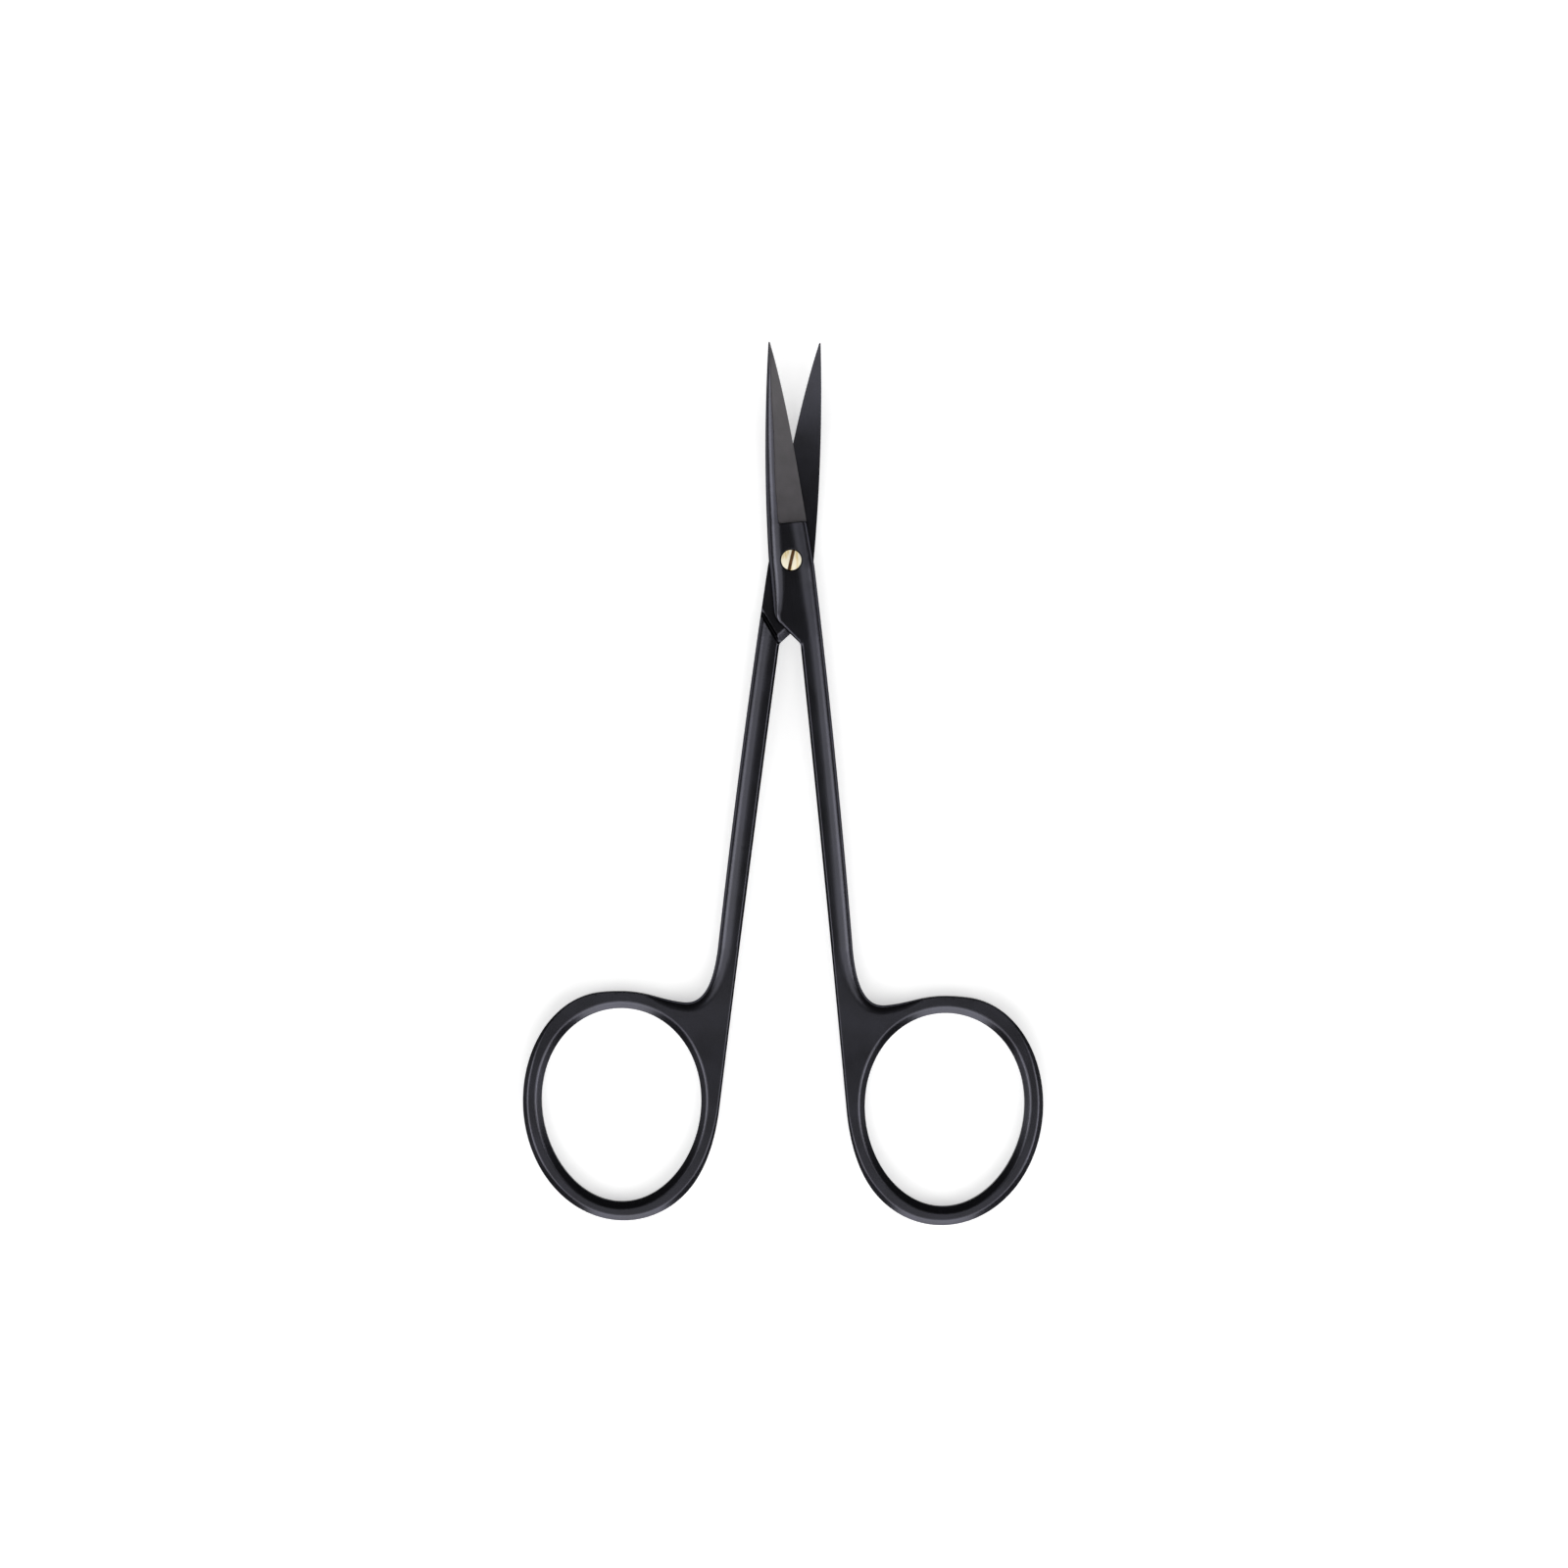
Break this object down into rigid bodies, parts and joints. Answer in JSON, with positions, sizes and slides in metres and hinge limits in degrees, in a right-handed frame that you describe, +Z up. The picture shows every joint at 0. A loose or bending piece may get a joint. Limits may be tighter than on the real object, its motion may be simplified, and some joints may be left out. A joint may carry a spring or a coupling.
{
  "type": "iris scissors",
  "caption": "Small curved surgical scissors with slim pointed blades, long shanks and oval finger rings, black coated, joined by a gold slotted screw.",
  "frame": {"origin": "On the pivot axis, at the underside of the joint, on which the scissors lie", "axes": "+Y points from the rings to the blade tips, +Z is up, out of the screw's head, and +X is to the right as the screw's head is looked down on"},
  "size_m": [0.0666, 0.1126, 0.0062],
  "materials": {
    "black_coating": "satin black hard coating on stainless steel",
    "gold_screw": "gold-coloured, turned and satin"
  },
  "bodies": {
    "lower": {"lower_half": "black_coating", "pivot_screw": "gold_screw"},
    "upper": {"upper_half": "black_coating"}
  },
  "joints": [
    {"name": "pivot", "type": "hinge", "parent": "lower", "child": "upper", "pos_m": [0, 0, 0.0017], "axis": [0, 0, 1], "range_deg": [-12.9, 77]}
  ]
}
